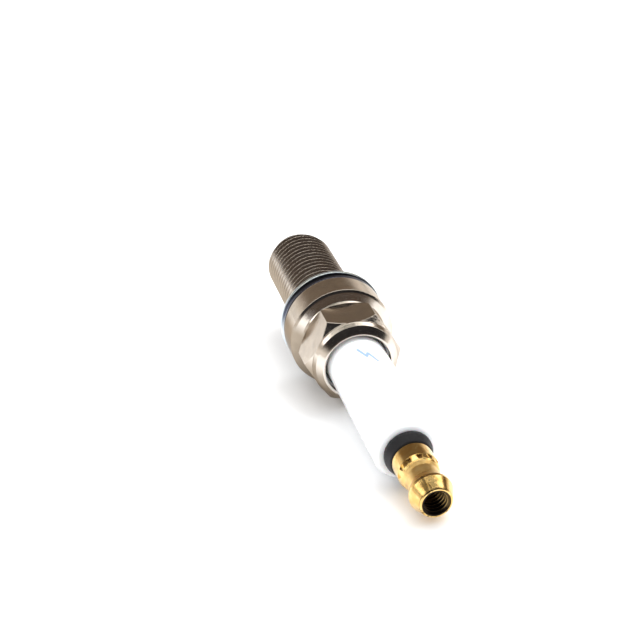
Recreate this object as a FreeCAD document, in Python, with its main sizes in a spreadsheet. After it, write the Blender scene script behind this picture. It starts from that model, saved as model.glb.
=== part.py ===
import FreeCAD, Part

import math
import os

import Sketcher

# Long-reach spark plug, millimetres.
# +X runs along the plug's axis towards the terminal, +Z is up, and the origin is on the
# axis in the plane of the shell's seat face. Two flats of the hexagon face +Z and -Z.

SIZES = {
    # Small cuts that several pieces share
    "chamfer": 0.3,
    "edge_break": 0.12,
    "seal_gap": 0.01,
    # Screw threads
    "thread_major": 12.0,
    "thread_pitch": 1.25,
    "thread_overrun": 1.6,
    "terminal_thread_major": 4.1,
    "terminal_thread_minor": 3.3,
    "terminal_thread_pitch": 0.7,
    # Metal shell, stations along the axis
    "reach": 26.5,
    "pilot_length": 1.3,
    "thread_lead_length": 0.9,
    "neck_length": 3.2,
    "thread_runout": 0.85,
    "flange_length": 5.0,
    "flange_chamfer": 0.35,
    "flange_front": 5.4,
    "hex_base": 6.0,
    "hex_start": 6.45,
    "hex_full_start": 7.65,
    "hex_full_end": 11.75,
    "rim_start": 13.1,
    "rim_land": 13.35,
    "lip_inner_bend": 13.85,
    "lip_bend": 14.1,
    "lip_end": 15.2,
    "lip_round": 0.12,
    # Metal shell, diameters
    "pilot_diameter": 10.2,
    "neck_diameter": 10.3,
    "flange_diameter": 17.5,
    "flange_front_diameter": 16.8,
    "hex_flats": 14.0,
    "hex_base_diameter": 14.4,
    "rim_diameter": 14.2,
    "lip_bend_diameter": 13.55,
    "lip_edge_diameter": 11.5,
    "lip_bore": 10.9,
    "nose_bore": 7.2,
    "ledge_bore": 6.3,
    "core_bore": 8.1,
    "barrel_bore": 11.9,
    "ledge_foot": 17.05,
    "ledge_start": 16.6,
    "ledge_cone_start": 15.7,
    "ledge_cone_end": 14.8,
    "shoulder_start": 1.4,
    "shoulder_end": 3.3,
    # Insulator
    "nose_tip": 27.3,
    "nose_tip_diameter": 3.7,
    "nose_root": 15.6,
    "nose_root_diameter": 5.5,
    "step_start": 15.2,
    "step_start_diameter": 5.9,
    "step_end": 14.2,
    "core_diameter": 7.9,
    "barrel_start": 3.4,
    "core_end": 1.5,
    "barrel_end": 8.3,
    "barrel_diameter": 11.7,
    "barrel_top": 8.85,
    "barrel_top_diameter": 11.0,
    "neck_ceramic_diameter": 9.8,
    "ceramic_end": 40.5,
    "ceramic_end_round": 0.9,
    "upper_bore": 3.9,
    "lower_bore": 2.5,
    "bore_step": 10.2,
    "bore_step_top": 9.6,
    # Terminal nut
    "nut_spigot_start": 41.9,
    "nut_start": 43.05,
    "nut_foot_end": 45.85,
    "nut_step_end": 46.75,
    "nut_waist_start": 47.6,
    "nut_waist_end": 49.5,
    "nut_head_start": 51.0,
    "nut_taper_start": 51.5,
    "nut_end": 53.7,
    "nut_spigot_diameter": 5.7,
    "nut_foot_diameter": 6.15,
    "nut_step_diameter": 5.75,
    "nut_waist_diameter": 5.0,
    "nut_head_diameter": 6.35,
    "nut_face_diameter": 4.65,
    "nut_mouth_diameter": 3.75,
    "nut_mouth_length": 0.25,
    "nut_flutes": 12,
    "nut_flute_start": 45.95,
    "nut_flute_lift": 0.45,
    "nut_flute_diameter": 1.4,
    # Terminal stud
    "stud_foot": 7.0,
    "stud_knurl_end": 12.4,
    "stud_collar_start": 40.5,
    "stud_collar_end": 41.3,
    "stud_end": 49.0,
    "stud_diameter": 3.7,
    "stud_knurl_depth": 0.25,
    "stud_knurl_grooves": 6,
    "stud_collar_diameter": 5.5,
    "stud_thread_diameter": 3.2,
    # Rubber ring under the nut
    "ring_start": 40.6,
    "ring_shoulder": 41.5,
    "ring_end": 42.95,
    "ring_diameter": 7.3,
    "ring_top_diameter": 6.4,
    "ring_bore": 5.8,
    "ring_round": 0.8,
    # Seals and resistor in the bore
    "seal_foot": 9.4,
    "resistor_start": 5.5,
    "resistor_end": 5.0,
    "seal_top": 9.6,
    # Centre electrode
    "electrode_head_diameter": 3.6,
    "electrode_head_top": 8.6,
    "electrode_diameter": 2.4,
    "electrode_shoulder": 27.7,
    "electrode_cone_end": 28.1,
    "electrode_cone_diameter": 1.0,
    "copper_diameter": 1.3,
    "copper_end": 25.4,
    "copper_shoulder": 24.9,
    "tip_diameter": 0.6,
    "tip_root": 27.6,
    "tip_end": 28.6,
    # Ground electrode
    "spark_gap": 0.8,
    "pad_diameter": 0.9,
    "pad_height": 0.25,
    "strap_thickness": 1.3,
    "strap_width": 2.4,
    "strap_outer": 4.95,
    "strap_overhang": 1.1,
    "strap_bend": 0.7,
    "strap_core_thickness": 0.5,
    "strap_core_width": 1.2,
    "strap_core_end": 0.4,
    # Packing between shell and insulator
    "packing_radius": 5.42,
    "packing_wire": 0.84,
    "lower_packing": 9.4,
    "upper_packing": 13.4,
    "washer_gap": 0.05,
    "washer_inner": 6.5,
    "washer_outer": 7.7,
    # Folded gasket
    "gasket_gap": 0.1,
    "gasket_sheet": 0.5,
    "gasket_fold_gap": 0.4,
    "gasket_outer": 17.8,
    "gasket_lip": 17.4,
    "gasket_bore": 11.3,
    "gasket_tail": 12.3,
}

# ISO thread proportions, as fractions of the pitch.
GROOVE_DEPTH = 0.6134
ROOT_FLAT = 0.25
INNER_ROOT_FLAT = 0.09
FLANK_SLOPE = math.tan(math.radians(30))
CUTTER_OVERSHOOT = 0.12

doc = FreeCAD.newDocument("SparkPlug")


def add_sheet():
    sheet = doc.addObject("Spreadsheet::Sheet", "Sizes")
    for row, (alias, value) in enumerate(SIZES.items(), start=1):
        sheet.set("A%d" % row, alias)
        sheet.set("B%d" % row, str(value))
        sheet.setAlias("B%d" % row, alias)
    doc.recompute()
    return sheet


sheet = add_sheet()


def cell(expression):
    """The expression with every alias prefixed by the sheet's name."""
    words = sorted(SIZES, key=len, reverse=True)
    result = ""
    position = 0
    while position < len(expression):
        for word in words:
            if expression.startswith(word, position):
                result += "Sizes." + word
                position += len(word)
                break
        else:
            result += expression[position]
            position += 1
    return result


def value_of(expression):
    """The expression's value now, which gives a sketch its starting shape."""
    return float(sheet.evalExpression(expression))


def origin_feature(body, role):
    return next(item for item in body.Origin.OriginFeatures if item.Role == role)


def new_body(label):
    body = doc.addObject("PartDesign::Body", label)
    body.Label = label
    return body


def new_sketch(body, name, plane="XZ_Plane", lift=None):
    sketch = body.newObject("Sketcher::SketchObject", name)
    sketch.AttachmentSupport = [(origin_feature(body, plane), "")]
    sketch.MapMode = "FlatFace"
    if lift:
        sketch.setExpression("AttachmentOffset.Base.z", cell(lift))
    doc.recompute()
    return sketch


def bind(sketch, kind, geometry, name, expression):
    """Add a dimension and tie it to the sheet."""
    index = sketch.addConstraint(Sketcher.Constraint(kind, *geometry, value_of(expression)))
    sketch.renameConstraint(index, name)
    sketch.setExpression("Constraints." + name, cell(expression))


def arc_between(start, end, radius, left):
    """The short arc from start to end, bulging to the left or right of the chord."""
    middle = (start + end) * 0.5
    chord = end - start
    normal = FreeCAD.Vector(-chord.y, chord.x, 0)
    normal.normalize()
    if not left:
        normal = -normal
    half = chord.Length / 2
    rise = math.sqrt(max(radius * radius - half * half, 0))
    top = middle + normal * (radius - rise)
    return Part.Arc(start, top, end)


def draw_outline(sketch, outline):
    """Close a loop through (along, across) points; a point may carry the arc that leaves it.

    An arc is ("left" or "right", radius expression): the side of the chord it bulges to.
    """
    points = [FreeCAD.Vector(value_of(p[0]), value_of(p[1]), 0) for p in outline]
    count = len(outline)
    for i, point in enumerate(outline):
        start = points[i]
        end = points[(i + 1) % count]
        if len(point) > 2:
            side, radius = point[2]
            sketch.addGeometry(arc_between(start, end, value_of(radius), side == "left"), False)
        else:
            sketch.addGeometry(Part.LineSegment(start, end), False)
    ends = [edge_ends(sketch, i, points[i]) for i in range(count)]
    for i in range(count):
        following = (i + 1) % count
        sketch.addConstraint(
            Sketcher.Constraint("Coincident", i, ends[i][1], following, ends[following][0])
        )
    for i, point in enumerate(outline):
        place_point(sketch, i, ends[i][0], point)
        if len(point) > 2:
            bind_arc(sketch, i, points[i], points[(i + 1) % count], point)
    if sketch.solve() != 0:
        raise RuntimeError("sketch %s has no solution" % sketch.Name)


def bind_arc(sketch, index, start, end, point):
    """Hold an arc by its radius, or a half circle, which its ends already size, by its centre."""
    radius = point[2][1]
    if abs((end - start).Length / 2 - value_of(radius)) < 1e-6:
        bind(sketch, "DistanceY", (-1, 1, index, 3), "centre_%d" % index, point[1])
    else:
        bind(sketch, "Radius", (index,), "radius_%d" % index, radius)


def edge_ends(sketch, index, start):
    """Which vertex numbers are the start and the end of an edge, as it was drawn."""
    if (sketch.getPoint(index, 1) - start).Length < 1e-6:
        return 1, 2
    return 2, 1


def place_point(sketch, index, vertex, point):
    origin = (-1, 1)
    for kind, word, expression in (("DistanceX", "along", point[0]), ("DistanceY", "across", point[1])):
        bind(sketch, kind, origin + (index, vertex), "%s_%d" % (word, index), expression)


def revolve(body, name, outline):
    """A solid of revolution about the plug's axis."""
    sketch = new_sketch(body, name + "_profile")
    draw_outline(sketch, outline)
    doc.recompute()
    feature = body.newObject("PartDesign::Revolution", name)
    feature.Profile = sketch
    feature.ReferenceAxis = (sketch, ["H_Axis"])
    feature.Angle = 360
    doc.recompute()
    return feature


def turned_part(label, outline):
    body = new_body(label)
    revolve(body, label + "_turned", outline)
    return body


def fillet(body, base, name, edges, radius):
    feature = body.newObject("PartDesign::Fillet", name)
    feature.Base = (base, edges)
    feature.setExpression("Radius", cell(radius))
    doc.recompute()
    return feature


def circles_at(feature, along, across):
    """Names of the circular edges at one station with one radius."""
    names = []
    for index, edge in enumerate(feature.Shape.Edges, start=1):
        curve = edge.Curve
        if not isinstance(curve, Part.Circle):
            continue
        if abs(curve.Center.x - along) < 1e-4 and abs(curve.Radius - across) < 1e-4:
            names.append("Edge%d" % index)
    if not names:
        raise RuntimeError("no edge at %.2f with radius %.2f" % (along, across))
    return names


def must_remove(body, feature, before):
    if feature.Shape.isNull() or feature.Shape.Volume > before - 1e-6:
        raise RuntimeError("%s cut nothing from %s" % (feature.Name, body.Label))


def cut_helix(body, name, outline, pitch, height):
    """Cut a right-hand screw groove whose section is the outline, from its start along +X."""
    before = body.Shape.Volume
    sketch = new_sketch(body, name + "_section")
    draw_outline(sketch, outline)
    doc.recompute()
    feature = body.newObject("PartDesign::SubtractiveHelix", name)
    feature.Profile = sketch
    feature.ReferenceAxis = (sketch, ["H_Axis"])
    feature.Mode = 0
    feature.setExpression("Pitch", cell(pitch))
    feature.setExpression("Height", cell(height))
    feature.LeftHanded = False
    doc.recompute()
    must_remove(body, feature, before)
    return feature


def outer_groove(start, crest, pitch):
    """Section of an external thread's groove, its mid-line at the start station."""
    root = "(%s / 2 - %s * %s)" % (crest, GROOVE_DEPTH, pitch)
    top = "(%s / 2 + %s)" % (crest, CUTTER_OVERSHOOT)
    half_root = "%s * %s / 2" % (ROOT_FLAT, pitch)
    half_top = "(%s + (%s - %s) * %.6f)" % (half_root, top, root, FLANK_SLOPE)
    return [
        ("%s - %s" % (start, half_root), root),
        ("%s + %s" % (start, half_root), root),
        ("%s + %s" % (start, half_top), top),
        ("%s - %s" % (start, half_top), top),
    ]


def inner_groove(start, root, crest):
    """Section of an internal thread's groove, opening towards the axis."""
    outer = "%s / 2" % root
    inner = "(%s / 2 - %s)" % (crest, CUTTER_OVERSHOOT)
    half_outer = "%s * terminal_thread_pitch" % INNER_ROOT_FLAT
    half_inner = "(%s + (%s - %s) * %.6f)" % (half_outer, outer, inner, FLANK_SLOPE)
    return [
        ("%s - %s" % (start, half_inner), inner),
        ("%s + %s" % (start, half_inner), inner),
        ("%s + %s" % (start, half_outer), outer),
        ("%s - %s" % (start, half_outer), outer),
    ]


def make_metal_shell():
    body = new_body("metal_shell")
    corner = "hex_flats / 2 / cos(30 deg)"
    lead_start = "-reach + pilot_length"
    revolve(body, "shell_turned", [
        ("-reach", "nose_bore / 2"),
        ("-reach", "pilot_diameter / 2 - chamfer"),
        ("-reach + chamfer", "pilot_diameter / 2"),
        (lead_start, "pilot_diameter / 2"),
        (lead_start + " + thread_lead_length", "thread_major / 2"),
        ("-neck_length - thread_runout", "thread_major / 2"),
        ("-neck_length", "neck_diameter / 2"),
        ("0", "neck_diameter / 2"),
        ("0", "flange_diameter / 2 - flange_chamfer"),
        ("flange_chamfer", "flange_diameter / 2"),
        ("flange_length", "flange_diameter / 2"),
        ("flange_front", "flange_front_diameter / 2"),
        ("hex_base", "hex_base_diameter / 2"),
        ("hex_start", "hex_flats / 2"),
        ("hex_full_start", corner),
        ("hex_full_end", corner),
        ("rim_start", "rim_diameter / 2"),
        ("rim_land", "rim_diameter / 2"),
        ("lip_bend", "lip_bend_diameter / 2"),
        ("lip_end - lip_round", "lip_edge_diameter / 2 + lip_round"),
        ("lip_end", "lip_edge_diameter / 2 - lip_round / 2"),
        ("lip_end - lip_round", "lip_bore / 2"),
        ("lip_bend + lip_round", "lip_bore / 2"),
        ("lip_inner_bend", "barrel_bore / 2"),
        ("shoulder_end", "barrel_bore / 2"),
        ("shoulder_start", "core_bore / 2"),
        ("-ledge_cone_end", "core_bore / 2"),
        ("-ledge_cone_start", "ledge_bore / 2"),
        ("-ledge_start", "ledge_bore / 2"),
        ("-ledge_foot", "nose_bore / 2"),
    ])
    cut_hexagon(body)
    groove = outer_groove("-reach + pilot_length - thread_pitch", "thread_major", "thread_pitch")
    height = "reach - pilot_length - neck_length + thread_overrun * thread_pitch"
    cut_helix(body, "shell_thread", groove, "thread_pitch", height)
    return body


def cut_hexagon(body):
    """Mill the six flats across the turned blank."""
    before = body.Shape.Volume
    sketch = new_sketch(body, "hexagon", "YZ_Plane", "hex_start")
    corner = value_of("hex_flats / 2 / cos(30 deg)")
    for i in range(6):
        ends = [math.radians(60 * j) for j in (i, i + 1)]
        start, end = [FreeCAD.Vector(corner * math.cos(a), corner * math.sin(a), 0) for a in ends]
        sketch.addGeometry(Part.LineSegment(start, end), False)
    for i in range(6):
        sketch.addConstraint(Sketcher.Constraint("Coincident", i, 2, (i + 1) % 6, 1))
    for i in range(5):
        sketch.addConstraint(Sketcher.Constraint("Equal", i, i + 1))
    guide = Part.Circle(FreeCAD.Vector(0, 0, 0), FreeCAD.Vector(0, 0, 1), corner)
    ring = sketch.addGeometry(guide, True)
    sketch.addConstraint(Sketcher.Constraint("Coincident", ring, 3, -1, 1))
    for i in range(6):
        sketch.addConstraint(Sketcher.Constraint("PointOnObject", i, 1, ring))
    sketch.addConstraint(Sketcher.Constraint("PointOnObject", 0, 1, -1))
    bind(sketch, "Radius", (ring,), "corner", "hex_flats / 2 / cos(30 deg)")
    rim = Part.Circle(FreeCAD.Vector(0, 0, 0), FreeCAD.Vector(0, 0, 1), corner * 1.3)
    outer = sketch.addGeometry(rim, False)
    sketch.addConstraint(Sketcher.Constraint("Coincident", outer, 3, -1, 1))
    bind(sketch, "Radius", (outer,), "blank", "flange_diameter / 2 + 1")
    doc.recompute()
    feature = body.newObject("PartDesign::Pocket", "hexagon_flats")
    feature.Profile = sketch
    feature.setExpression("Length", cell("rim_start - hex_start"))
    feature.Reversed = True
    doc.recompute()
    must_remove(body, feature, before)


def make_gasket():
    """A steel washer folded into three leaves, loose on the shell's neck."""
    sheet_end = "-gasket_gap"
    leaf = [
        "(%s - 3 * gasket_sheet - 2 * gasket_fold_gap)" % sheet_end,
        "(%s - 2 * gasket_sheet - 2 * gasket_fold_gap)" % sheet_end,
        "(%s - 2 * gasket_sheet - gasket_fold_gap)" % sheet_end,
        "(%s - gasket_sheet - gasket_fold_gap)" % sheet_end,
        "(%s - gasket_sheet)" % sheet_end,
        sheet_end,
    ]
    outer_bend = "gasket_sheet + gasket_fold_gap / 2"
    inner_bend = "gasket_fold_gap / 2"
    outer_centre = "gasket_outer / 2 - gasket_sheet - gasket_fold_gap / 2"
    inner_centre = "gasket_bore / 2 + gasket_sheet + gasket_fold_gap / 2"
    return turned_part("gasket", [
        (leaf[0], "gasket_tail / 2"),
        (leaf[0], outer_centre, ("left", outer_bend)),
        (leaf[3], outer_centre),
        (leaf[3], inner_centre, ("right", inner_bend)),
        (leaf[4], inner_centre),
        (leaf[4], "gasket_lip / 2"),
        (leaf[5], "gasket_lip / 2"),
        (leaf[5], inner_centre, ("left", outer_bend)),
        (leaf[2], inner_centre),
        (leaf[2], outer_centre, ("right", inner_bend)),
        (leaf[1], outer_centre),
        (leaf[1], "gasket_tail / 2"),
    ])


def make_insulator():
    body = new_body("insulator")
    turned = revolve(body, "insulator_turned", [
        ("-nose_tip", "lower_bore / 2"),
        ("-nose_tip", "nose_tip_diameter / 2 - chamfer"),
        ("-nose_tip + chamfer", "nose_tip_diameter / 2"),
        ("-nose_root", "nose_root_diameter / 2"),
        ("-step_start", "step_start_diameter / 2"),
        ("-step_end", "core_diameter / 2"),
        ("core_end", "core_diameter / 2"),
        ("barrel_start", "barrel_diameter / 2"),
        ("barrel_end", "barrel_diameter / 2"),
        ("barrel_top", "barrel_top_diameter / 2"),
        ("barrel_top", "neck_ceramic_diameter / 2"),
        ("ceramic_end", "neck_ceramic_diameter / 2"),
        ("ceramic_end", "upper_bore / 2"),
        ("-bore_step_top", "upper_bore / 2"),
        ("-bore_step", "lower_bore / 2"),
    ])
    edges = circles_at(turned, SIZES["ceramic_end"], SIZES["neck_ceramic_diameter"] / 2)
    fillet(body, turned, "insulator_end_round", edges, "ceramic_end_round")
    return body


def make_terminal_nut():
    body = new_body("terminal_nut")
    revolve(body, "nut_turned", [
        ("nut_spigot_start", "terminal_thread_minor / 2 + chamfer"),
        ("nut_spigot_start", "nut_spigot_diameter / 2"),
        ("nut_start", "nut_spigot_diameter / 2"),
        ("nut_start", "nut_foot_diameter / 2 - edge_break"),
        ("nut_start + edge_break", "nut_foot_diameter / 2"),
        ("nut_foot_end", "nut_foot_diameter / 2"),
        ("nut_step_end", "nut_step_diameter / 2"),
        ("nut_waist_start", "nut_waist_diameter / 2"),
        ("nut_waist_end", "nut_waist_diameter / 2"),
        ("nut_head_start", "nut_head_diameter / 2"),
        ("nut_taper_start", "nut_head_diameter / 2"),
        ("nut_end - edge_break", "nut_face_diameter / 2 + edge_break / 2"),
        ("nut_end", "nut_face_diameter / 2 - edge_break / 2"),
        ("nut_end", "nut_mouth_diameter / 2"),
        ("nut_end - nut_mouth_length", "terminal_thread_minor / 2"),
        ("nut_spigot_start + chamfer", "terminal_thread_minor / 2"),
    ])
    cut_flutes(body)
    start = "(nut_spigot_start - terminal_thread_pitch)"
    groove = inner_groove(start, "terminal_thread_major", "terminal_thread_minor")
    height = "nut_end - nut_spigot_start + 2 * terminal_thread_pitch"
    cut_helix(body, "nut_thread", groove, "terminal_thread_pitch", height)
    return body


def cut_flutes(body):
    """A crown of round notches in the nut's step, one cut and its polar pattern."""
    before = body.Shape.Volume
    sketch = new_sketch(body, "flute", "YZ_Plane", "nut_flute_start")
    station = "nut_foot_diameter / 2 + nut_flute_lift"
    centre = FreeCAD.Vector(0, value_of(station), 0)
    circle = Part.Circle(centre, FreeCAD.Vector(0, 0, 1), value_of("nut_flute_diameter / 2"))
    hole = sketch.addGeometry(circle, False)
    sketch.addConstraint(Sketcher.Constraint("PointOnObject", hole, 3, -2))
    bind(sketch, "Radius", (hole,), "flute", "nut_flute_diameter / 2")
    bind(sketch, "DistanceY", (-1, 1, hole, 3), "station", station)
    doc.recompute()
    notch = body.newObject("PartDesign::Pocket", "flute_cut")
    notch.Profile = sketch
    notch.setExpression("Length", cell("nut_step_end - nut_flute_start"))
    notch.Reversed = True
    doc.recompute()
    must_remove(body, notch, before)
    crown = body.newObject("PartDesign::PolarPattern", "flute_crown")
    crown.Originals = [notch]
    crown.Axis = (origin_feature(body, "X_Axis"), [""])
    crown.Angle = 360
    crown.setExpression("Occurrences", cell("nut_flutes"))
    body.Tip = crown
    doc.recompute()


def make_terminal_stud():
    """Steel pin: gripped foot, shaft, collar on the ceramic and the end inside the nut."""
    outline = [("stud_foot", "0"), ("stud_foot", "stud_diameter / 2 - stud_knurl_depth")]
    step = "(stud_knurl_end - stud_foot) / stud_knurl_grooves"
    for i in range(int(SIZES["stud_knurl_grooves"])):
        crest = "stud_foot + %d * %s + 0.5 * %s" % (i, step, step)
        root = "stud_foot + %d * %s" % (i + 1, step)
        outline.append((crest, "stud_diameter / 2"))
        outline.append((root, "stud_diameter / 2 - stud_knurl_depth"))
    outline += [
        ("stud_knurl_end + chamfer", "stud_diameter / 2"),
        ("stud_collar_start", "stud_diameter / 2"),
        ("stud_collar_start", "stud_collar_diameter / 2"),
        ("stud_collar_end", "stud_collar_diameter / 2"),
        ("stud_collar_end", "stud_thread_diameter / 2"),
        ("stud_end - chamfer", "stud_thread_diameter / 2"),
        ("stud_end", "stud_thread_diameter / 2 - chamfer"),
        ("stud_end", "0"),
    ]
    return turned_part("terminal_stud", outline)


def make_terminal_seal_ring():
    body = new_body("terminal_seal_ring")
    turned = revolve(body, "ring_turned", [
        ("ring_start", "ring_bore / 2"),
        ("ring_start", "ring_diameter / 2"),
        ("ring_shoulder", "ring_diameter / 2"),
        ("ring_end", "ring_top_diameter / 2"),
        ("ring_end", "ring_bore / 2"),
    ])
    edges = circles_at(turned, SIZES["ring_shoulder"], SIZES["ring_diameter"] / 2)
    crown = fillet(body, turned, "ring_crown", edges, "ring_round")
    edges = circles_at(crown, SIZES["ring_start"], SIZES["ring_diameter"] / 2)
    foot = fillet(body, crown, "ring_foot", edges, "ring_round / 2")
    edges = circles_at(foot, SIZES["ring_end"], SIZES["ring_top_diameter"] / 2)
    fillet(body, foot, "ring_top", edges, "ring_round / 4")
    return body


def make_upper_glass_seal():
    """Glass between resistor and stud, moulded round the stud's foot."""
    gap = "stud_diameter / 2 + seal_gap"
    return turned_part("upper_glass_seal", [
        ("resistor_end", "0"),
        ("resistor_end", "upper_bore / 2"),
        ("seal_top", "upper_bore / 2"),
        ("seal_top", gap),
        ("stud_foot", gap),
        ("stud_foot", "0"),
    ])


def make_resistor():
    return turned_part("resistor", [
        ("-resistor_start", "0"),
        ("-resistor_start", "upper_bore / 2"),
        ("resistor_end", "upper_bore / 2"),
        ("resistor_end", "0"),
    ])


def make_lower_glass_seal():
    """Glass between resistor and centre electrode, moulded round the electrode's head."""
    gap = "electrode_head_diameter / 2 + seal_gap"
    return turned_part("lower_glass_seal", [
        ("-electrode_head_top", "0"),
        ("-electrode_head_top", gap),
        ("-seal_foot", gap),
        ("-seal_foot", "upper_bore / 2"),
        ("-resistor_start", "upper_bore / 2"),
        ("-resistor_start", "0"),
    ])


def make_center_electrode():
    """Nickel sheath, blind-bored for its copper core and drilled for its fine tip."""
    return turned_part("center_electrode", [
        ("-electrode_head_top", "copper_diameter / 2"),
        ("-electrode_head_top", "electrode_head_diameter / 2"),
        ("-bore_step_top", "electrode_head_diameter / 2"),
        ("-bore_step", "electrode_diameter / 2"),
        ("-electrode_shoulder", "electrode_diameter / 2"),
        ("-electrode_cone_end", "electrode_cone_diameter / 2"),
        ("-electrode_cone_end", "tip_diameter / 2"),
        ("-tip_root", "tip_diameter / 2"),
        ("-tip_root", "0"),
        ("-copper_end", "0"),
        ("-copper_shoulder", "copper_diameter / 2"),
    ])


def make_center_core():
    return turned_part("center_core", [
        ("-copper_end", "0"),
        ("-copper_shoulder", "copper_diameter / 2"),
        ("-electrode_head_top", "copper_diameter / 2"),
        ("-electrode_head_top", "0"),
    ])


def make_center_tip():
    return turned_part("center_tip", [
        ("-tip_end", "0"),
        ("-tip_end", "tip_diameter / 2"),
        ("-tip_root", "tip_diameter / 2"),
        ("-tip_root", "0"),
    ])


def strap_outline(inset, far_end, root):
    """The bent strap's side view, drawn smaller by the inset for its core."""
    face = "(-tip_end - spark_gap - pad_height - %s)" % inset
    back = "(-tip_end - spark_gap - pad_height - strap_thickness + %s)" % inset
    outer = "(-strap_outer + %s)" % inset
    inner = "(-strap_outer + strap_thickness - %s)" % inset
    outer_bend = "(strap_bend + strap_thickness - %s)" % inset
    inner_bend = "(strap_bend + %s)" % inset
    return [
        (root, outer),
        (back + " + " + outer_bend, outer, ("left", outer_bend)),
        (back, outer + " + " + outer_bend),
        (back, far_end),
        (face, far_end),
        (face, inner + " + " + inner_bend, ("right", inner_bend)),
        (face + " + " + inner_bend, inner),
        (root, inner),
    ]


def pad_midplane(body, name, outline, width, kind="PartDesign::Pad"):
    sketch = new_sketch(body, name + "_side")
    draw_outline(sketch, outline)
    doc.recompute()
    feature = body.newObject(kind, name)
    feature.Profile = sketch
    feature.Midplane = True
    feature.setExpression("Length", cell(width))
    doc.recompute()
    return feature


def core_outline():
    inset = "((strap_thickness - strap_core_thickness) / 2)"
    return strap_outline(inset, "strap_core_end", "-reach")


def make_ground_electrode():
    body = new_body("ground_electrode")
    pad_midplane(body, "strap", strap_outline("0", "strap_overhang", "-reach"), "strap_width")
    before = body.Shape.Volume
    hollow = pad_midplane(
        body, "strap_hollow", core_outline(), "strap_core_width", "PartDesign::Pocket"
    )
    must_remove(body, hollow, before)
    return body


def make_ground_core():
    body = new_body("ground_core")
    pad_midplane(body, "strap_core", core_outline(), "strap_core_width")
    return body


def make_ground_pad():
    face = "-tip_end - spark_gap"
    return turned_part("ground_pad", [
        (face + " - pad_height", "0"),
        (face + " - pad_height", "pad_diameter / 2"),
        (face, "pad_diameter / 2"),
        (face, "0"),
    ])


def make_talc_packing():
    return turned_part("talc_packing", [
        ("lower_packing + packing_wire / 2", "neck_ceramic_diameter / 2"),
        ("lower_packing + packing_wire / 2", "barrel_bore / 2"),
        ("upper_packing - packing_wire / 2", "barrel_bore / 2"),
        ("upper_packing - packing_wire / 2", "neck_ceramic_diameter / 2"),
    ])


def make_packing_ring(label, station):
    """A ring of round wire, as a torus about the plug's axis."""
    ring = doc.addObject("Part::Torus", label)
    ring.Label = label
    ring.setExpression("Radius1", cell("packing_radius"))
    ring.setExpression("Radius2", cell("packing_wire / 2"))
    turn = FreeCAD.Rotation(FreeCAD.Vector(0, 1, 0), 90)
    ring.Placement = FreeCAD.Placement(FreeCAD.Vector(0, 0, 0), turn)
    ring.setExpression("Placement.Base.x", cell(station))
    return ring


def make_inner_seal_washer():
    """Conical washer between the shell's ledge and the insulator's step."""
    lower = "(-ledge_cone_start - ledge_bore / 2 + washer_gap)"
    upper = "(-step_start - step_start_diameter / 2 - washer_gap)"
    return turned_part("inner_seal_washer", [
        (lower + " + washer_inner / 2", "washer_inner / 2"),
        (lower + " + washer_outer / 2", "washer_outer / 2"),
        (upper + " + washer_outer / 2", "washer_outer / 2"),
        (upper + " + washer_inner / 2", "washer_inner / 2"),
    ])


def make_all():
    return [
        make_metal_shell(),
        make_gasket(),
        make_insulator(),
        make_terminal_nut(),
        make_terminal_stud(),
        make_terminal_seal_ring(),
        make_upper_glass_seal(),
        make_resistor(),
        make_lower_glass_seal(),
        make_center_electrode(),
        make_center_core(),
        make_center_tip(),
        make_ground_electrode(),
        make_ground_core(),
        make_ground_pad(),
        make_talc_packing(),
        make_packing_ring("lower_packing_ring", "lower_packing"),
        make_packing_ring("upper_packing_ring", "upper_packing"),
        make_inner_seal_washer(),
    ]


def check_document(parts):
    doc.recompute()
    for item in doc.Objects:
        if "Invalid" in item.State or "Error" in item.State:
            raise RuntimeError("%s did not compute: %s" % (item.Name, item.State))
    for part in parts:
        if part.Shape.isNull() or not part.Shape.isValid():
            raise RuntimeError("%s has no valid shape" % part.Label)
        if len(part.Shape.Solids) != 1:
            raise RuntimeError("%s has %d solids" % (part.Label, len(part.Shape.Solids)))


def write_parts(parts):
    os.makedirs("parts", exist_ok=True)
    for part in parts:
        part.Shape.exportStep("parts/%s.step" % part.Label)
        print("%-20s %10.2f mm3" % (part.Label, part.Shape.Volume))


parts = make_all()
check_document(parts)
write_parts(parts)
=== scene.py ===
import math

import bmesh
import bpy
from bpy.props import FloatProperty, FloatVectorProperty, IntProperty, PointerProperty
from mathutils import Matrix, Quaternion, Vector


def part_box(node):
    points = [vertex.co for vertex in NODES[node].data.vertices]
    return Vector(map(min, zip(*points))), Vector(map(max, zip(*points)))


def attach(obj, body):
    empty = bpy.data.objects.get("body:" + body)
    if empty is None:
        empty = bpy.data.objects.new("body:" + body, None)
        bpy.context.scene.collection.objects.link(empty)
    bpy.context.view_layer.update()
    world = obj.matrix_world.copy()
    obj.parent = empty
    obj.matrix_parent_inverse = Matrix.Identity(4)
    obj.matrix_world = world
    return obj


bl_info = {
    "name": "Spark Plug",
    "version": (1, 0, 0),
    "blender": (4, 5, 0),
    "location": "3D View > Sidebar > Spark Plug",
    "description": "Finishes and stages a long-reach spark plug",
    "category": "Object",
}

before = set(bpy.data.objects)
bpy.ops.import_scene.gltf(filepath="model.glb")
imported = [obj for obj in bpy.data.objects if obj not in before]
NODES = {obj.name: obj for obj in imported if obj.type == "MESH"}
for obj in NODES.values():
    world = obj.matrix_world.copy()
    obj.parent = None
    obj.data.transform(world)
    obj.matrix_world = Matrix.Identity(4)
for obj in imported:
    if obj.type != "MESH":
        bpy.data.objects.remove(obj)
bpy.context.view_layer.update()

MM = 0.001

# The plug lies on its flange's front edge and on its insulator's rounded end
NECK_WIDTH = 9.8 * MM
FLANGE_WIDTH = 17.5 * MM
FLANGE_EDGE = 5.0 * MM
CERAMIC_EDGE = 39.8 * MM
TABLE_GAP = 0.05 * MM

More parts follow.
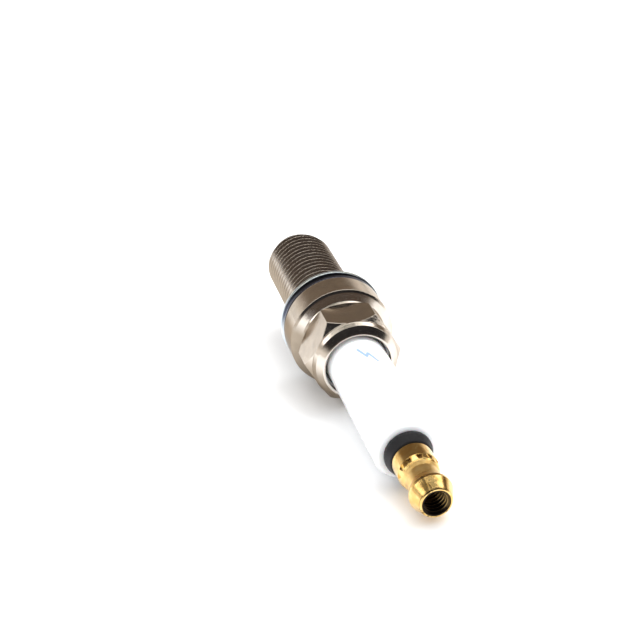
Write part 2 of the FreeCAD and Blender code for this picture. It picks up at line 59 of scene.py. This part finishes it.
# Where a finish starts and where it is full, in millimetres on the plug
THREAD_TAIL = (3.2, 3.9)
GROOVE_WALL = (5.28, 5.98)
CREST_HIGHLIGHT = (5.86, 5.96)
HEXAGON_FOOT = (6.6, 7.2)
GASKET_SHADE = (-1.48, -1.28)
NECK_SKIN = (4.6, 4.7)
BORE_WALL = (2.06, 2.12)
BORE_GROOVE = (1.67, 1.80)
HEAD_START = (50.9, 51.2)
FACE_EDGE = 53.48

# The side of the shell that gets painted shade
PAINTED_SHADE_SIDE = (0.0, -0.85, -0.55)


# ---------------------------------------------------------------- shader sums


class Wire:
    """A shader socket that takes part in sums: every operator adds one Math node."""

    def __init__(self, finish, socket):
        self.finish = finish
        self.socket = socket

    def maths(self, operation, *values, clamp=False):
        settings = {"operation": operation, "use_clamp": clamp}
        return self.finish.add("ShaderNodeMath", settings, dict(enumerate(values)))

    def __add__(self, other):
        return self.maths("ADD", self, other)

    def __radd__(self, other):
        return self.maths("ADD", other, self)

    def __sub__(self, other):
        return self.maths("SUBTRACT", self, other)

    def __rsub__(self, other):
        return self.maths("SUBTRACT", other, self)

    def __mul__(self, other):
        return self.maths("MULTIPLY", self, other)

    def __rmul__(self, other):
        return self.maths("MULTIPLY", other, self)

    def __truediv__(self, other):
        return self.maths("DIVIDE", self, other)

    def __neg__(self):
        return self.maths("MULTIPLY", self, -1.0)

    def __abs__(self):
        return self.maths("ABSOLUTE", self)

    def most(self, other):
        return self.maths("MAXIMUM", self, other)

    def root(self):
        return self.maths("SQRT", self)

    def clamped(self):
        return self.maths("ADD", self, 0.0, clamp=True)

    def angle_over(self, other):
        """The angle, in radians, whose tangent is this over the other."""
        return self.maths("ARCTAN2", self, other)

    def smooth(self, low, high):
        """0 below low, 1 above high, eased between."""
        settings = {"interpolation_type": "SMOOTHSTEP"}
        values = {0: self, 1: low, 2: high, 3: 0.0, 4: 1.0}
        return self.finish.add("ShaderNodeMapRange", settings, values)

    def within(self, low, high, ease):
        """1 between low and high: it rises just past low and falls just past high."""
        return self.smooth(low, low + ease) * (1.0 - self.smooth(high, high + ease))


class Finish:
    """A node material, or the world, built one node at a time."""

    def __init__(self, owner):
        owner.use_nodes = True
        self.tree = owner.node_tree
        self.tree.nodes.clear()

    def add(self, kind, settings=None, values=None, out=0):
        """Add a node: its settings first, then values or wires by socket name or number."""
        node = self.tree.nodes.new(kind)
        for name, value in (settings or {}).items():
            if name == "stops":
                self.fill_ramp(node.color_ramp, value)
            else:
                setattr(node, name, value)
        for name, value in (values or {}).items():
            socket = node.inputs[name]
            if isinstance(value, Wire):
                self.tree.links.new(value.socket, socket)
            else:
                socket.default_value = value
        return Wire(self, node.outputs[out]) if len(node.outputs) else None

    def fill_ramp(self, ramp, stops):
        while len(ramp.elements) < len(stops):
            ramp.elements.new(0.5)
        for element, (position, colour) in zip(ramp.elements, stops):
            element.position = position
            element.color = colour

    def blend(self, factor, first, second, how="MIX"):
        """Colours mixed by a factor."""
        settings = {"data_type": "RGBA", "blend_type": how}
        values = {0: factor, 6: first, 7: second}
        return self.add("ShaderNodeMix", settings, values, out=2)

    def place(self):
        """The point on the piece, in millimetres: its vector and its three parts."""
        point = self.add("ShaderNodeTexCoord", out=3)
        point = self.add("ShaderNodeVectorMath", {"operation": "SCALE"}, {0: point, 3: 1 / MM})
        parts = [self.add("ShaderNodeSeparateXYZ", values={0: point}, out=i) for i in range(3)]
        return point, parts

    def facing(self, direction):
        """How far the surface, as built, faces along a direction of the piece."""
        normal = self.add("ShaderNodeTexCoord", out=1)
        settings = {"operation": "DOT_PRODUCT"}
        return self.add("ShaderNodeVectorMath", settings, {0: normal, 1: direction}, out=1)

    def noise(self, point, scale, detail=3.0, roughness=0.5):
        values = {"Vector": point, "Scale": scale, "Detail": detail, "Roughness": roughness}
        return self.add("ShaderNodeTexNoise", {}, values)

    def stretched(self, x, y, z):
        """A point made of three parts, each scaled on its own."""
        return self.add("ShaderNodeCombineXYZ", values={0: x, 1: y, 2: z})

    def bump(self, height, depth, before=None):
        """A relief whose full height is the depth, in millimetres."""
        values = {"Strength": 1.0, "Distance": depth * MM, "Height": height}
        if before is not None:
            values["Normal"] = before
        return self.add("ShaderNodeBump", {}, values)

    def soft_edges(self, radius):
        """A normal that rounds sharp edges off, over a radius in millimetres."""
        return self.add("ShaderNodeBevel", {"samples": 8}, {"Radius": radius * MM})

    def surface(self, **sockets):
        """End the material with a Principled surface."""
        values = {name.replace("_", " "): value for name, value in sockets.items()}
        shader = self.add("ShaderNodeBsdfPrincipled", {}, values)
        self.add("ShaderNodeOutputMaterial", {}, {0: shader})


def new_finish(name):
    material = bpy.data.materials.new(name)
    return material, Finish(material)


def rgb(colour):
    return (*colour[:3], 1.0)


def shade(colour, factor):
    """The colour, brighter or darker."""
    return (*[part * factor for part in colour[:3]], 1.0)


def dress(node, material):
    """Give a CAD node its finish in every material slot."""
    mesh = NODES[node].data
    for index in range(max(1, len(mesh.materials))):
        if index < len(mesh.materials):
            mesh.materials[index] = material
        else:
            mesh.materials.append(material)


# ---------------------------------------------------------------- finishes


def turning_marks(finish, along, across, pitch, seed):
    """Fine rings left by the lathe, uneven along the axis."""
    line = finish.stretched(along * (1 / pitch), across * 0.05, seed)
    return finish.noise(line, 1.0, detail=4.0, roughness=0.65)


def nickel_finish(colours):
    """Bright nickel plate, with painted shade in the thread's grooves and a painted highlight on their
    crests, darker down its +Y side, and painted shade on its -Y and lower side.
    """
    material, finish = new_finish("nickel_plate")
    point, (x, y, z) = finish.place()
    radius = (y * y + z * z).root()
    in_thread = (-x).smooth(*THREAD_TAIL)
    depth = (1.0 - radius.smooth(*GROOVE_WALL)) * in_thread
    cloud = finish.noise(point, 0.35, detail=4.0)
    shade_amount = finish.noise(point, 1.7, detail=5.0, roughness=0.6)
    pale = finish.blend(cloud.smooth(0.35, 0.7), rgb(colours.nickel), shade(colours.nickel, 0.86))
    # Painted highlight: the thread's crests are brighter
    crest_highlight = radius.smooth(*CREST_HIGHLIGHT) * in_thread
    pale = finish.blend(crest_highlight, pale, shade(colours.nickel, 1.09))
    # Painted shade down in the thread's grooves, uneven in strength
    shaded_plating = finish.blend(depth * (0.80 + 0.18 * shade_amount), pale, rgb(colours.groove_shade))
    # The thread is darker down its +Y side
    plus_y_darkening = in_thread * y.smooth(0.5, 5.0) * (0.55 + 0.3 * shade_amount)
    shaded_plating = finish.blend(plus_y_darkening, shaded_plating, rgb(colours.groove_shade))
    # Painted shade: the plating is darker on its -Y and lower side, on the round parts only up to the
    # hexagon's foot
    painted_shade_flats = finish.facing(PAINTED_SHADE_SIDE).smooth(0.50, 0.75)
    towards = (y * PAINTED_SHADE_SIDE[1] + z * PAINTED_SHADE_SIDE[2]) / radius
    painted_shade_round = towards.smooth(0.40, 0.68) * (1.0 - x.smooth(*HEXAGON_FOOT))
    shaded_plating = finish.blend(painted_shade_flats.most(painted_shade_round), shaded_plating, rgb(colours.tan), "MULTIPLY")
    rings = turning_marks(finish, x, radius, pitch=0.09, seed=3.0)
    speck = finish.noise(point, 14.0, detail=2.0)
    rough = 0.11 + 0.08 * cloud.smooth(0.4, 0.75) + 0.16 * depth + 0.07 * speck * shade_amount
    normal = finish.soft_edges(0.15)
    normal = finish.bump(rings, 0.004, normal)
    normal = finish.bump(cloud, 0.03, normal)
    finish.surface(
        Base_Color=shaded_plating, Metallic=1.0, Roughness=rough, Normal=normal,
        Specular_Tint=rgb(colours.glance),
    )
    return material


def zinc_finish(colours):
    """Zinc-plated sheet with a faint rainbow, and painted shade on its upper side where it meets the
    flange.
    """
    material, finish = new_finish("zinc_plate")
    point, (x, y, z) = finish.place()
    cloud = finish.noise(point, 0.28, detail=2.0)
    stops = [
        (0.30, shade(colours.zinc, 1.0)),
        (0.45, (0.54, 0.66, 0.74, 1.0)),
        (0.58, (0.62, 0.74, 0.66, 1.0)),
        (0.72, (0.66, 0.66, 0.60, 1.0)),
    ]
    film = finish.add("ShaderNodeValToRGB", {"stops": stops}, {0: cloud})
    colour = finish.blend(0.45, rgb(colours.zinc), film)
    # Painted shade on the gasket's upper side, where it meets the flange
    shade_amount = x.smooth(*GASKET_SHADE) * z.smooth(-1.0, 3.0)
    colour = finish.blend(shade_amount * 0.94, colour, rgb(colours.zinc_shade))
    rings = turning_marks(finish, x, y, pitch=0.12, seed=8.0)
    rough = 0.16 + 0.14 * finish.noise(point, 2.2, detail=4.0)
    normal = finish.soft_edges(0.08)
    normal = finish.bump(rings, 0.004, normal)
    finish.surface(Base_Color=colour, Metallic=1.0, Roughness=rough, Normal=normal)
    return material


def stroke(finish, u, v, start, end, width):
    """1 on a straight stroke between two points of the printed mark, soft at its edge."""
    du, dv = end[0] - start[0], end[1] - start[1]
    square = du * du + dv * dv
    share = ((u - start[0]) * (du / square) + (v - start[1]) * (dv / square)).clamped()
    away_u = u - start[0] - share * du
    away_v = v - start[1] - share * dv
    away = (away_u * away_u + away_v * away_v).root()
    return 1.0 - away.smooth(width * 0.35, width * 0.65)


def ceramic_finish(colours, mark):
    """White glazed ceramic with a small printed zigzag by the shell."""
    material, finish = new_finish("white_ceramic")
    point, (x, y, z) = finish.place()
    angle = z.angle_over(y)
    u = x - mark.station / MM
    v = (angle - mark.angle) * (0.5 * NECK_WIDTH / MM)
    long, high = mark.length / MM, mark.height / MM
    corners = [
        (-0.5 * long, 0.30 * high),
        (0.12 * long, 0.02 * high),
        (-0.14 * long, -0.10 * high),
        (0.5 * long, -0.42 * high),
    ]
    width = mark.stroke / MM
    pairs = zip(corners, corners[1:])
    ink, *others = [stroke(finish, u, v, start, end, width) for start, end in pairs]
    for line in others:
        ink = ink.most(line)
    outside = (z * z + y * y).root().smooth(*NECK_SKIN)
    grain = finish.noise(point, 9.0, detail=3.0)
    ink = ink * outside * (0.72 + 0.28 * grain)
    cloud = finish.noise(point, 0.5, detail=2.0)
    body = finish.blend(cloud, rgb(colours.ceramic), shade(colours.ceramic, 0.985))
    colour = finish.blend(ink, body, rgb(colours.mark))
    dust = finish.noise(point, 22.0, detail=1.0).smooth(0.72, 0.80)
    colour = finish.blend(dust * 0.12, colour, (0.45, 0.44, 0.42, 1.0))
    rough = 0.12 + 0.06 * cloud + 0.18 * ink
    normal = finish.soft_edges(0.15)
    normal = finish.bump(finish.noise(point, 0.8, detail=2.0), 0.012, normal)
    finish.surface(
        Base_Color=colour, Roughness=rough, Normal=normal, Coat_Weight=0.6,
        Coat_Roughness=0.05, Subsurface_Weight=0.12, Subsurface_Scale=0.0012,
    )
    return material


def gold_finish(colours):
    """Polished gold-coloured plating: painted shade in its bore, painted dark reflections on its head,
    behind it and along its face edge, brushed at its waist.
    """
    material, finish = new_finish("gold_terminal")
    point, (x, y, z) = finish.place()
    radius = (y * y + z * z).root()
    cloud = finish.noise(point, 0.9, detail=3.0)
    colour = finish.blend(cloud.smooth(0.35, 0.7), rgb(colours.gold), rgb(colours.gold_deep))
    # Painted shade in the bore, deeper in the grooves of its thread and towards -Y and down
    bore = 1.0 - radius.smooth(*BORE_WALL)
    groove_shade = bore * radius.smooth(*BORE_GROOVE)
    bore_side_shade = bore * (1.0 - (y + z * 0.5).smooth(-0.2, 1.3)) * 0.30
    bore_shade = (bore * 0.62 + groove_shade * 0.32 + bore_side_shade).clamped()
    colour = finish.blend(bore_shade, colour, (0.02, 0.015, 0.012, 1.0))
    angle = z.angle_over(y)
    # Painted dark reflections: streaks round the head, a band just behind it and a line at the face edge
    head_reflection_streak = finish.noise(finish.stretched(angle * 3.2, x * 0.10, 4.0), 1.0, detail=3.0, roughness=0.7)
    head = x.smooth(*HEAD_START) * (1.0 - bore)
    back = x.within(49.5, 50.8, ease=0.3)
    edge = (1.0 - abs(x - FACE_EDGE).smooth(0.03, 0.10)) * (1.0 - bore)
    dark = (head_reflection_streak.smooth(0.56, 0.64) * head * 0.75).most(back * 0.55).most(edge * 0.65)
    colour = finish.blend(dark, colour, shade(colours.gold_deep, 0.18))
    rings = turning_marks(finish, x, radius, pitch=0.07, seed=5.0)
    spots = finish.noise(point, 6.0, detail=3.0).smooth(0.58, 0.75)
    brushed = x.within(46.9, 49.3, ease=0.3)
    rough = 0.10 + 0.07 * cloud + 0.16 * spots + 0.15 * bore + 0.22 * brushed
    normal = finish.soft_edges(0.05)
    normal = finish.bump(rings, 0.004, normal)
    normal = finish.bump(finish.noise(point, 1.1, detail=2.0), 0.015, normal)
    finish.surface(Base_Color=colour, Metallic=1.0, Roughness=rough, Normal=normal)
    return material


def rubber_finish(colours):
    """Smooth black rubber with dust and a fine skin."""
    material, finish = new_finish("black_rubber")
    point, _ = finish.place()
    skin = finish.noise(point, 12.0, detail=4.0)
    dust = finish.noise(point, 3.0, detail=5.0).smooth(0.55, 0.8)
    colour = finish.blend(dust * 0.35, rgb(colours.rubber), shade(colours.rubber, 2.6))
    rough = 0.42 + 0.2 * skin
    normal = finish.bump(skin, 0.02)
    finish.surface(Base_Color=colour, Roughness=rough, Normal=normal, Specular_IOR_Level=0.32)
    return material


def metal_finish(name, colour, rough, pitch):
    """Plain metal: a cloudy tone, lathe rings and a scatter of dull spots."""
    material, finish = new_finish(name)
    point, (x, y, _) = finish.place()
    cloud = finish.noise(point, 1.2, detail=4.0)
    tone = finish.blend(cloud, rgb(colour), shade(colour, 0.78))
    rings = turning_marks(finish, x, y, pitch, seed=2.0)
    spots = finish.noise(point, 8.0, detail=3.0).smooth(0.5, 0.8)
    normal = finish.bump(rings, 0.006, finish.soft_edges(0.05))
    roughness = rough + 0.12 * cloud + 0.15 * spots
    finish.surface(Base_Color=tone, Metallic=1.0, Roughness=roughness, Normal=normal)
    return material


def powder_finish(name, colour, fleck, rough):
    """Pressed or fused powder: flecks of a second colour and a grainy surface."""
    material, finish = new_finish(name)
    point, _ = finish.place()
    grains = finish.noise(point, 10.0, detail=6.0, roughness=0.7)
    tone = finish.blend(grains.smooth(0.45, 0.62), rgb(colour), rgb(fleck))
    normal = finish.bump(grains, 0.03)
    finish.surface(Base_Color=tone, Roughness=rough + 0.15 * grains, Normal=normal)
    return material


def table_finish(colours):
    """A plain pale table."""
    material, finish = new_finish("pale_table")
    point, _ = finish.place()
    cloud = finish.noise(point, 0.01, detail=2.0)
    tone = finish.blend(cloud, rgb(colours.table), shade(colours.table, 0.99))
    finish.surface(Base_Color=tone, Roughness=0.55 + 0.05 * cloud)
    return material


# ---------------------------------------------------------------- settings


def colour_setting(name, description, value):
    return FloatVectorProperty(
        name=name, description=description, default=value, size=3, min=0.0, max=1.0, subtype="COLOR"
    )


def length_setting(name, description, value):
    return FloatProperty(
        name=name, description=description, default=value, min=0.0, unit="LENGTH", subtype="DISTANCE"
    )


class PlugColours(bpy.types.PropertyGroup):
    nickel: colour_setting("Nickel", "Plating of the shell", (0.85, 0.78, 0.70))
    # Painted shade tint for the plating's -Y side
    tan: colour_setting("Tan", "Tint of the plating on its dull side", (0.42, 0.38, 0.33))
    glance: colour_setting("Glance", "Tint of the plating seen edge on", (0.57, 0.52, 0.47))
    # Painted shade in the thread's grooves; it also darkens the thread's +Y side
    groove_shade: colour_setting("Groove", "Plating down in the thread", (0.11, 0.075, 0.06))
    zinc: colour_setting("Zinc", "Plating of the gasket", (0.66, 0.70, 0.74))
    # Painted shade on the gasket by the flange
    zinc_shade: colour_setting("Dark zinc", "Stain on the gasket by the flange", (0.045, 0.050, 0.085))
    ceramic: colour_setting("Ceramic", "Glaze of the insulator", (0.955, 0.975, 1.0))
    mark: colour_setting("Mark", "Ink of the printed mark", (0.22, 0.38, 0.70))
    gold: colour_setting("Gold", "Plating of the terminal nut", (0.93, 0.66, 0.27))
    gold_deep: colour_setting("Deep gold", "Thicker plating in the cloudy patches", (0.80, 0.50, 0.16))
    rubber: colour_setting("Rubber", "Ring under the terminal nut", (0.010, 0.010, 0.012))
    table: colour_setting("Table", "Surface that the plug lies on", (0.96, 0.96, 0.96))


class PrintedMark(bpy.types.PropertyGroup):
    station: length_setting("Station", "Middle of the mark along the plug", 0.0202)
    angle: FloatProperty(
        name="Angle", description="Turn of the mark about the axis", default=1.57, subtype="ANGLE"
    )
    length: length_setting("Length", "Length of the mark along the plug", 0.0042)
    height: length_setting("Height", "Width of the mark round the plug", 0.0030)
    stroke: length_setting("Stroke", "Width of the printed line", 0.00044)


class WeldBead(bpy.types.PropertyGroup):
    strap_depth: length_setting("Strap depth", "Thickness of the ground strap", 0.0013)
    radius: length_setting("Radius", "Radius of the bead", 0.00016)
    ripple: FloatProperty(name="Ripple", description="Share of the radius that ripples", default=0.22)
    ripples: IntProperty(name="Ripples", description="Ripples round the bead", default=17)
    steps: IntProperty(name="Steps", description="Points along the bead", default=96, min=8)
    sides: IntProperty(name="Sides", description="Points round the bead", default=10, min=4)


class Stage(bpy.types.PropertyGroup):
    eye: FloatVectorProperty(
        name="Camera", description="Where the camera stands", size=3, unit="LENGTH",
        subtype="TRANSLATION", default=(0.19506, -0.04745, 0.10936),
    )
    target: FloatVectorProperty(
        name="Target", description="Where the camera looks", size=3, unit="LENGTH",
        subtype="TRANSLATION", default=(-0.0032, -0.0017, -0.0007),
    )
    roll: FloatProperty(
        name="Roll", description="Turn of the camera about its view", default=math.radians(-3.0),
        subtype="ANGLE",
    )
    lens: FloatProperty(name="Lens", description="Focal length in millimetres", default=76.0, min=1.0)
    table_width: length_setting("Table width", "Side of the square table", 6.0)
    key_power: FloatProperty(name="Key light", description="Power in watts", default=0.8, min=0.0)
    sun_power: FloatProperty(name="Fill sun", description="Strength of the soft sun", default=1.3, min=0.0)
    sky: FloatProperty(name="Sky", description="Strength of the plain sky", default=1.2, min=0.0)


# ---------------------------------------------------------------- operators


class FinishOperator:
    """What every operator here shares."""

    bl_options = {"REGISTER", "UNDO"}


class PLUG_OT_metal_shell(FinishOperator, bpy.types.Operator):
    """Plate the shell with bright nickel."""

    bl_idname = "plug.metal_shell"
    bl_label = "Metal shell"

    def execute(self, context):
        dress("metal_shell", nickel_finish(context.scene.plug_colours))
        return {"FINISHED"}


class PLUG_OT_gasket(FinishOperator, bpy.types.Operator):
    """Plate the folded gasket with zinc."""

    bl_idname = "plug.gasket"
    bl_label = "Gasket"

    def execute(self, context):
        dress("gasket", zinc_finish(context.scene.plug_colours))
        return {"FINISHED"}


class PLUG_OT_insulator(FinishOperator, bpy.types.Operator):
    """Glaze the insulator and print its mark."""

    bl_idname = "plug.insulator"
    bl_label = "Insulator"

    def execute(self, context):
        scene = context.scene
        dress("insulator", ceramic_finish(scene.plug_colours, scene.plug_mark))
        return {"FINISHED"}


class PLUG_OT_terminal(FinishOperator, bpy.types.Operator):
    """Finish the terminal nut and the rubber ring under it."""

    bl_idname = "plug.terminal"
    bl_label = "Terminal"

    def execute(self, context):
        colours = context.scene.plug_colours
        dress("terminal_nut", gold_finish(colours))
        dress("terminal_seal_ring", rubber_finish(colours))
        return {"FINISHED"}


class PLUG_OT_spark_end(FinishOperator, bpy.types.Operator):
    """Finish the electrodes, their cores and tips, and lay the strap's weld bead."""

    bl_idname = "plug.spark_end"
    bl_label = "Spark end"

    def execute(self, context):
        nickel = metal_finish("nickel_alloy", (0.56, 0.53, 0.49), 0.26, 0.10)
        copper = metal_finish("copper", (0.80, 0.42, 0.27), 0.25, 0.10)
        precious = metal_finish("precious_metal", (0.76, 0.76, 0.75), 0.12, 0.05)
        for node in ("center_electrode", "ground_electrode"):
            dress(node, nickel)
        for node in ("center_core", "ground_core"):
            dress(node, copper)
        for node in ("center_tip", "ground_pad"):
            dress(node, precious)
        bead = weld_bead(context.scene.plug_weld)
        bead.data.materials.append(metal_finish("weld_metal", (0.42, 0.39, 0.36), 0.34, 0.20))
        return {"FINISHED"}


def squared_off(value):
    """Push a sine or cosine out towards 1, so that a circle becomes a rounded square."""
    return math.copysign(math.sqrt(abs(value)), value)


def weld_bead(settings):
    """A rippled bead of weld round the ground strap's root, swept as a closed tube."""
    strap_low, strap_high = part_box("ground_electrode")
    _, core_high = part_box("ground_core")
    half_width = strap_high.y
    half_depth = settings.strap_depth / 2
    centre = Vector((core_high.x, 0, strap_low.z + half_depth))
    mesh = bpy.data.meshes.new("strap_weld")
    tube = bmesh.new()
    loops = []
    for i in range(settings.steps):
        turn = 2 * math.pi * i / settings.steps
        side = squared_off(math.cos(turn))
        rise = squared_off(math.sin(turn))
        middle = centre + Vector((0, side * half_width, rise * half_depth))
        outward = Vector((0, side / half_width, rise / half_depth)).normalized()
        radius = settings.radius * (1 + settings.ripple * math.sin(turn * settings.ripples))
        loop = []
        for j in range(settings.sides):
            roll = 2 * math.pi * j / settings.sides
            offset = outward * math.cos(roll) + Vector((-1, 0, 0)) * math.sin(roll)
            loop.append(tube.verts.new(middle + offset * radius))
        loops.append(loop)
    for i, loop in enumerate(loops):
        following = loops[(i + 1) % len(loops)]
        for j in range(settings.sides):
            k = (j + 1) % settings.sides
            tube.faces.new((loop[j], loop[k], following[k], following[j]))
    bmesh.ops.recalc_face_normals(tube, faces=tube.faces)
    for face in tube.faces:
        face.smooth = True
    tube.to_mesh(mesh)
    tube.free()
    bead = bpy.data.objects.new("strap_weld", mesh)
    bpy.context.scene.collection.objects.link(bead)
    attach(bead, "plug")
    return bead


class PLUG_OT_inner_pieces(FinishOperator, bpy.types.Operator):
    """Finish the stud, the fused seals, the resistor and the packing inside the plug."""

    bl_idname = "plug.inner_pieces"
    bl_label = "Inner pieces"

    def execute(self, context):
        steel = metal_finish("plain_steel", (0.50, 0.50, 0.50), 0.28, 0.12)
        glass = powder_finish("conductive_glass", (0.16, 0.10, 0.07), (0.50, 0.28, 0.16), 0.25)
        carbon = powder_finish("carbon_ceramic", (0.03, 0.03, 0.03), (0.20, 0.20, 0.19), 0.45)
        talc = powder_finish("talc", (0.84, 0.83, 0.79), (0.66, 0.65, 0.60), 0.75)
        washers = ("lower_packing_ring", "upper_packing_ring", "inner_seal_washer")
        for node in ("terminal_stud",) + washers:
            dress(node, steel)
        for node in ("upper_glass_seal", "lower_glass_seal"):
            dress(node, glass)
        dress("resistor", carbon)
        dress("talc_packing", talc)
        return {"FINISHED"}


def make_table(stage, colours):
    """A square table that touches the flange's edge and the insulator's end."""
    mesh = bpy.data.meshes.new("table")
    grid = bmesh.new()
    bmesh.ops.create_grid(grid, x_segments=8, y_segments=8, size=stage.table_width / 2)
    grid.to_mesh(mesh)
    grid.free()
    table = bpy.data.objects.new("table", mesh)
    bpy.context.scene.collection.objects.link(table)
    rise = 0.5 * (FLANGE_WIDTH - NECK_WIDTH)
    lean = math.atan(rise / (CERAMIC_EDGE - FLANGE_EDGE))
    table.location = (FLANGE_EDGE, 0, -0.5 * FLANGE_WIDTH - TABLE_GAP)
    table.rotation_euler = (0, -lean, 0)
    mesh.materials.append(table_finish(colours))


def make_camera(stage):
    """A camera that looks from the terminal's end down on to the plug."""
    data = bpy.data.cameras.new("camera")
    data.lens = stage.lens
    data.sensor_width = 36.0
    data.clip_start = 0.005
    data.clip_end = 50.0
    camera = bpy.data.objects.new("camera", data)
    bpy.context.scene.collection.objects.link(camera)
    eye = Vector(stage.eye)
    look = (Vector(stage.target) - eye).to_track_quat("-Z", "Y")
    camera.location = eye
    camera.rotation_mode = "QUATERNION"
    camera.rotation_quaternion = look @ Quaternion((0, 0, 1), stage.roll)
    bpy.context.scene.camera = camera


def make_light(name, kind, direction, distance, power, size):
    """A lamp that faces the plug from a direction, and that its plating doesn't mirror."""
    data = bpy.data.lights.new(name, kind)
    data.energy = power
    if kind == "AREA":
        data.shape = "RECTANGLE"
        data.size, data.size_y = size
    else:
        data.angle = size
    light = bpy.data.objects.new(name, data)
    bpy.context.scene.collection.objects.link(light)
    where = Vector(direction).normalized()
    light.location = where * distance
    light.rotation_mode = "QUATERNION"
    light.rotation_quaternion = (-where).to_track_quat("-Z", "X")
    light.visible_glossy = False


def make_world(stage):
    """A plain pale room. Mirrored in the plating, it is a studio instead: each band lies along
    the room, at a share of the half turn from the horizon behind the plug to the camera's side.
    """
    world = bpy.data.worlds.new("studio")
    bpy.context.scene.world = world
    finish = Finish(world)
    direction = finish.add("ShaderNodeTexCoord", out=0)
    parts = [finish.add("ShaderNodeSeparateXYZ", values={0: direction}, out=i) for i in range(3)]
    along, across, up = parts
    tilt = up.angle_over(-along) * (1 / math.pi)
    bright_panel = (2.6, 2.5, 2.35, 1.0)
    narrow_panel = (1.8, 1.7, 1.6, 1.0)
    stops = [
        # The pale horizon behind the plug, and the brown wall over it
        (0.000, (1.0, 0.97, 0.93, 1.0)),
        (0.035, (0.95, 0.88, 0.80, 1.0)),
        (0.110, (0.20, 0.155, 0.115, 1.0)),
        (0.250, (0.125, 0.095, 0.070, 1.0)),
        (0.325, (0.16, 0.12, 0.09, 1.0)),
        # Two bright panels overhead, with a grey gap between them
        (0.340, bright_panel),
        (0.405, bright_panel),
        (0.418, (0.20, 0.20, 0.17, 1.0)),
        (0.452, (0.14, 0.14, 0.12, 1.0)),
        (0.466, narrow_panel),
        (0.482, narrow_panel),
        # The dark room round the camera
        (0.492, (0.012, 0.011, 0.012, 1.0)),
        (0.720, (0.014, 0.012, 0.012, 1.0)),
        (0.850, (0.075, 0.055, 0.042, 1.0)),
        (0.985, (0.095, 0.070, 0.053, 1.0)),
        (1.000, (0.30, 0.24, 0.19, 1.0)),
    ]
    room = finish.add("ShaderNodeValToRGB", {"stops": stops}, {0: tilt})
    left = (-across).smooth(0.50, 0.86) * (1.0 - up.smooth(0.08, 0.42))
    right = across.smooth(0.50, 0.86) * (1.0 - up.smooth(0.04, 0.24))
    room = finish.blend(left + right, room, (0.90, 0.84, 0.77, 1.0))
    room = finish.blend((-up).smooth(0.0, 0.03), room, (0.95, 0.92, 0.88, 1.0))
    mirrored = finish.add("ShaderNodeBackground", values={0: room, 1: 1.0})
    plain = finish.add("ShaderNodeBackground", values={0: (1.0, 1.0, 1.0, 1.0), 1: stage.sky})
    glossy = finish.add("ShaderNodeLightPath", out=3)
    both = finish.add("ShaderNodeMixShader", values={0: glossy, 1: plain, 2: mirrored})
    finish.add("ShaderNodeOutputWorld", values={0: both})


class PLUG_OT_stage(FinishOperator, bpy.types.Operator):
    """Lay the plug on a pale table under soft studio light, with the camera in place."""

    bl_idname = "plug.stage"
    bl_label = "Stage"

    def execute(self, context):
        scene = context.scene
        stage = scene.plug_stage
        scene.view_settings.view_transform = "Standard"
        make_table(stage, scene.plug_colours)
        make_camera(stage)
        make_light(
            "overhead", "AREA", direction=(-0.36, 0.12, 0.93), distance=0.5,
            power=stage.key_power, size=(0.2, 0.6),
        )
        make_light(
            "soft_sun", "SUN", direction=(-0.3, 0.5, 0.81), distance=1.0,
            power=stage.sun_power, size=0.9,
        )
        make_world(stage)
        return {"FINISHED"}


class PLUG_PT_sidebar(bpy.types.Panel):
    """Buttons for the spark plug's pieces, and their sizes and colours."""

    bl_idname = "PLUG_PT_sidebar"
    bl_label = "Spark Plug"
    bl_space_type = "VIEW_3D"
    bl_region_type = "UI"
    bl_category = "Spark Plug"

    def draw(self, context):
        layout = self.layout
        for operator in OPERATORS:
            layout.operator(operator.bl_idname)
        scene = context.scene
        for group in (scene.plug_colours, scene.plug_mark, scene.plug_weld, scene.plug_stage):
            box = layout.box()
            for name in group.__annotations__:
                box.prop(group, name)


SETTINGS = (PlugColours, PrintedMark, WeldBead, Stage)
OPERATORS = (
    PLUG_OT_metal_shell,
    PLUG_OT_gasket,
    PLUG_OT_insulator,
    PLUG_OT_terminal,
    PLUG_OT_spark_end,
    PLUG_OT_inner_pieces,
    PLUG_OT_stage,
)


def register():
    for item in SETTINGS + OPERATORS + (PLUG_PT_sidebar,):
        bpy.utils.register_class(item)
    bpy.types.Scene.plug_colours = PointerProperty(type=PlugColours)
    bpy.types.Scene.plug_mark = PointerProperty(type=PrintedMark)
    bpy.types.Scene.plug_weld = PointerProperty(type=WeldBead)
    bpy.types.Scene.plug_stage = PointerProperty(type=Stage)


def unregister():
    del bpy.types.Scene.plug_stage
    del bpy.types.Scene.plug_weld
    del bpy.types.Scene.plug_mark
    del bpy.types.Scene.plug_colours
    for item in reversed(SETTINGS + OPERATORS + (PLUG_PT_sidebar,)):
        bpy.utils.unregister_class(item)


def main():
    register()
    bpy.ops.plug.metal_shell()
    bpy.ops.plug.gasket()
    bpy.ops.plug.insulator()
    bpy.ops.plug.terminal()
    bpy.ops.plug.spark_end()
    bpy.ops.plug.inner_pieces()
    bpy.ops.plug.stage()


if __name__ == "__main__":
    main()
